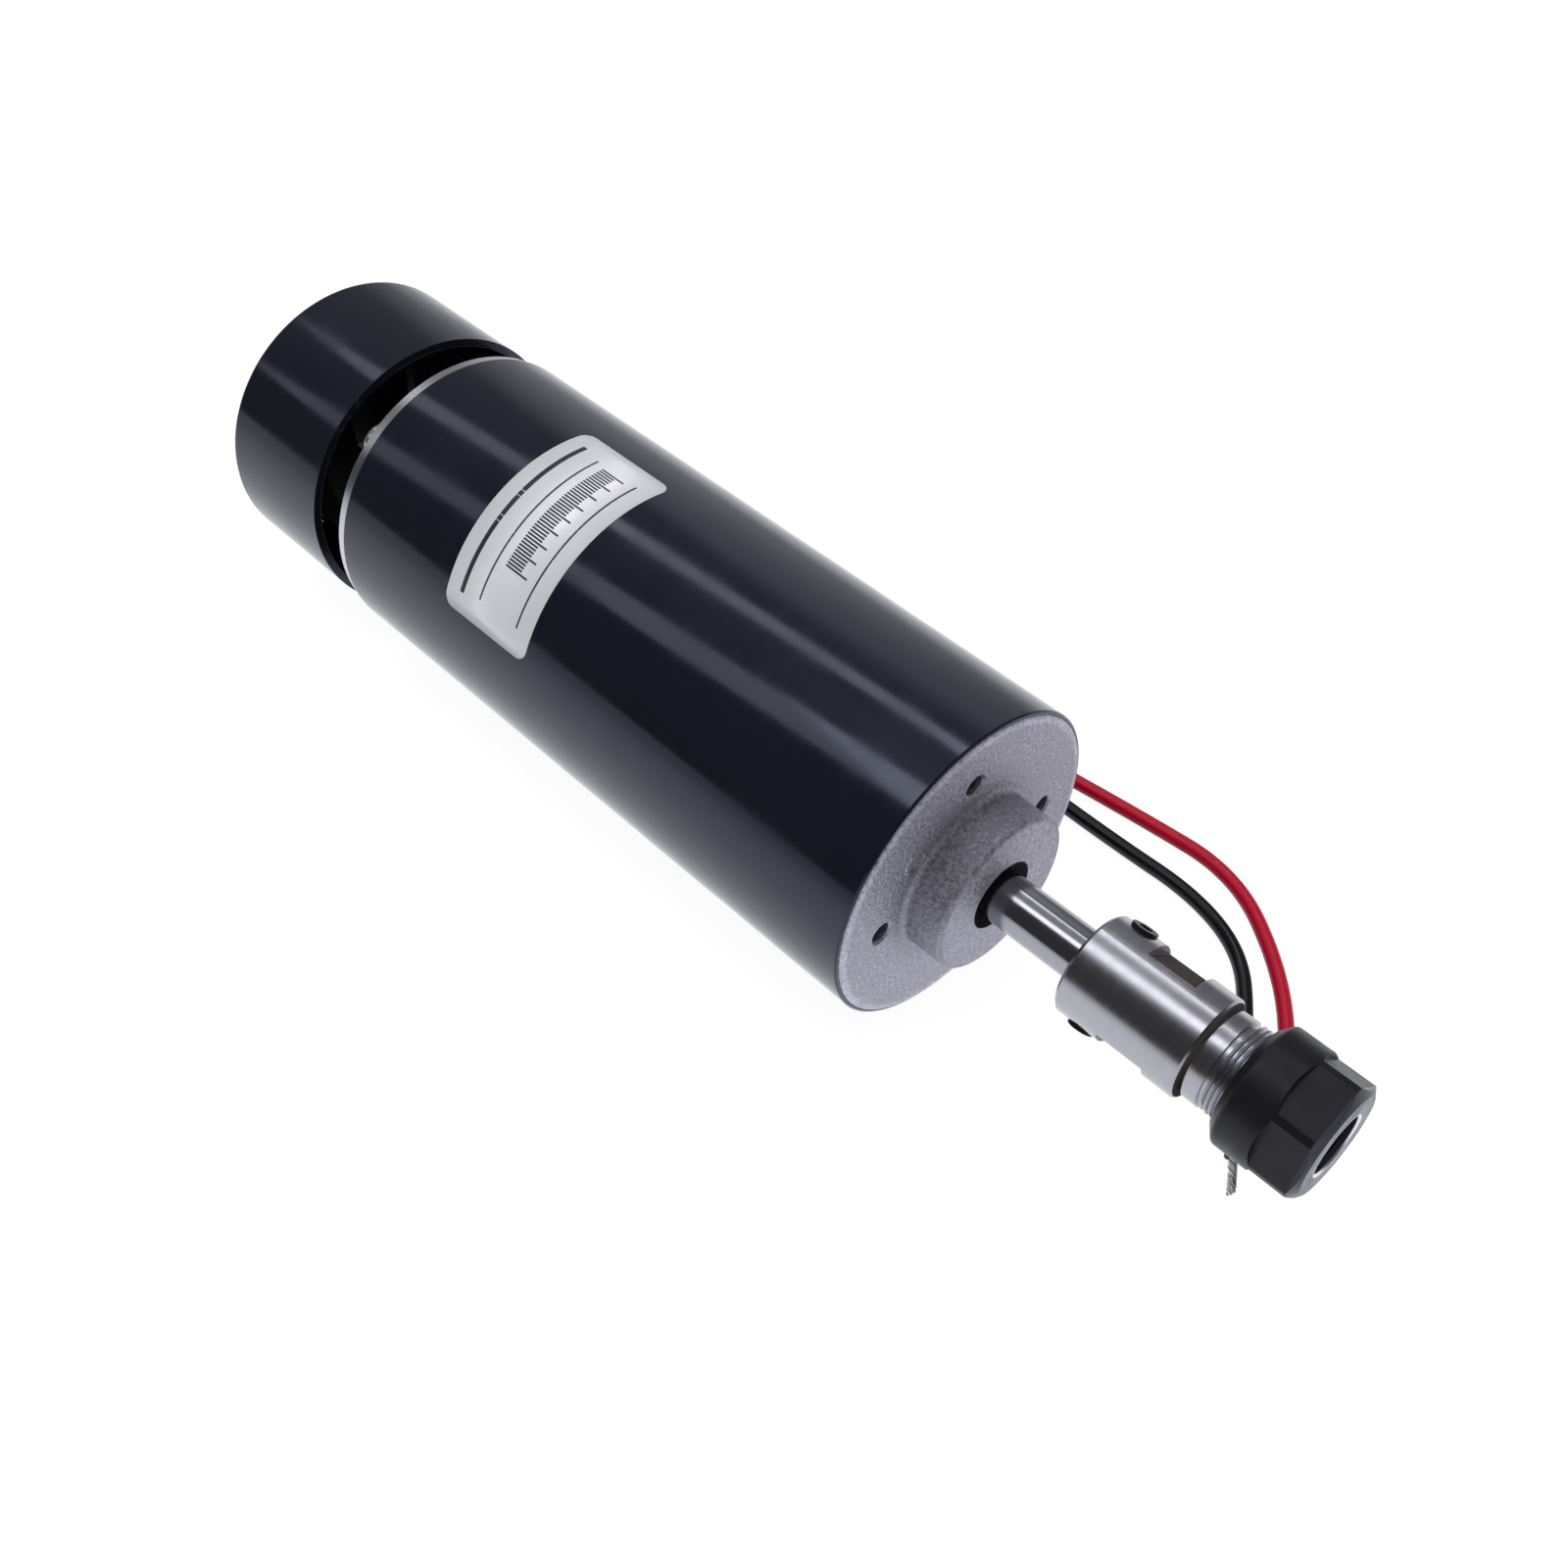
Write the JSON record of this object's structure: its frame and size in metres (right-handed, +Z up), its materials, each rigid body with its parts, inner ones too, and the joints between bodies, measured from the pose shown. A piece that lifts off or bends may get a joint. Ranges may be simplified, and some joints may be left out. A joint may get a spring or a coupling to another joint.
{
  "type": "motor spindle",
  "caption": "Round air-cooled brushed spindle motor on its side, with a rear fan cover, a front boss, a shaft-mounted collet chuck with a hexagon nut, and two bare-ended lead wires.",
  "frame": {"origin": "centre of the front mounting face, on the spindle axis", "axes": "+X along the spindle axis out of the tool end, +Z up as the spindle lies on its side, +Y to the side the lead wires lie on"},
  "size_m": [0.2138, 0.0733, 0.052],
  "materials": {
    "tube_paint": "glossy black paint on a steel tube",
    "cover_paint": "glossy black paint on the fan cover",
    "cast_cap": "fine-grained die casting, light grey",
    "machined_cap": "machined rim, bright",
    "ferrite": "sintered ferrite, dull dark grey",
    "zinc_steel": "bright zinc plating",
    "bearing_steel": "ground and polished",
    "cage_brass": "pressed brass",
    "spring_steel": "drawn spring steel",
    "ground_steel": "ground and polished shaft",
    "lamination_steel": "stacked laminations",
    "copper_wire": "varnished copper wire",
    "copper_bar": "turned copper",
    "phenolic": "brown phenolic",
    "fan_plastic": "moulded black nylon",
    "holder_brass": "pressed brass",
    "carbon": "pressed carbon",
    "turned_steel": "fine turned steel",
    "collet_steel": "hardened spring steel",
    "black_steel": "black oxide, satin",
    "black_rubber": "soft black rubber",
    "red_insulation": "glossy red insulation",
    "black_insulation": "glossy black insulation",
    "tinned_copper": "twisted tinned strands"
  },
  "bodies": {
    "housing": {"motor_tube": "tube_paint", "front_end_cap": "cast_cap", "rear_end_cap": "machined_cap", "field_magnets": "ferrite", "tie_bolts": "zinc_steel", "front_bearing_outer": "bearing_steel", "rear_bearing_outer": "bearing_steel", "wave_washer": "spring_steel", "brush_plate": "phenolic", "brush_plate_screws": "zinc_steel", "brush_holders": "holder_brass", "brush_spring_upper": "spring_steel", "brush_spring_lower": "spring_steel", "fan_cover": "cover_paint", "cover_screws": "black_steel", "lead_grommet": "black_rubber", "lead_wire_red": "red_insulation", "lead_wire_black": "black_insulation", "lead_end_red": "tinned_copper", "lead_end_black": "tinned_copper"},
    "rotor": {"shaft": "ground_steel", "shaft_circlip": "spring_steel", "armature_core": "lamination_steel", "armature_windings": "copper_wire", "commutator_hub": "phenolic", "commutator_bars": "copper_bar", "front_bearing_inner": "bearing_steel", "rear_bearing_inner": "bearing_steel", "cooling_fan": "fan_plastic", "chuck_body": "turned_steel", "chuck_set_screws": "black_steel"},
    "front_ball_cage": {"front_bearing_balls": "bearing_steel", "front_bearing_cage": "cage_brass"},
    "rear_ball_cage": {"rear_bearing_balls": "bearing_steel", "rear_bearing_cage": "cage_brass"},
    "collet_carrier": {"collet": "collet_steel"},
    "nut": {"collet_nut": "black_steel"},
    "upper_brush": {"brush_upper": "carbon"},
    "lower_brush": {"brush_lower": "carbon"}
  },
  "joints": [
    {"name": "rotor_spin", "type": "hinge", "parent": "housing", "child": "rotor", "pos_m": [0, 0, 0], "axis": [1, 0, 0], "continuous": true},
    {"name": "front_cage_spin", "type": "hinge", "parent": "housing", "child": "front_ball_cage", "pos_m": [0.0015, 0, 0], "axis": [1, 0, 0], "continuous": true},
    {"name": "rear_cage_spin", "type": "hinge", "parent": "housing", "child": "rear_ball_cage", "pos_m": [-0.1124, 0, 0], "axis": [1, 0, 0], "continuous": true},
    {"name": "collet_slide", "type": "slide", "parent": "rotor", "child": "collet_carrier", "axis": [1, 0, 0], "range_m": [0, 0.005]},
    {"name": "nut_turn", "type": "hinge", "parent": "collet_carrier", "child": "nut", "pos_m": [0.0563, 0, 0], "axis": [1, 0, 0], "range_deg": [0, 2400]},
    {"name": "upper_brush_slide", "type": "slide", "parent": "housing", "child": "upper_brush", "axis": [0, 0, 1], "range_m": [0, 0.002], "stiffness_N_per_m": 250, "springref_m": -0.004, "deforming": ["brush_spring_upper"]},
    {"name": "lower_brush_slide", "type": "slide", "parent": "housing", "child": "lower_brush", "axis": [0, 0, -1], "range_m": [0, 0.002], "stiffness_N_per_m": 250, "springref_m": -0.004, "deforming": ["brush_spring_lower"]}
  ],
  "couplings": [
    {"joint": "front_cage_spin", "follows": "rotor_spin", "ratio": 0.368},
    {"joint": "rear_cage_spin", "follows": "rotor_spin", "ratio": 0.368},
    {"joint": "nut_turn", "follows": "collet_slide", "rad_per_m": 8377.6}
  ]
}
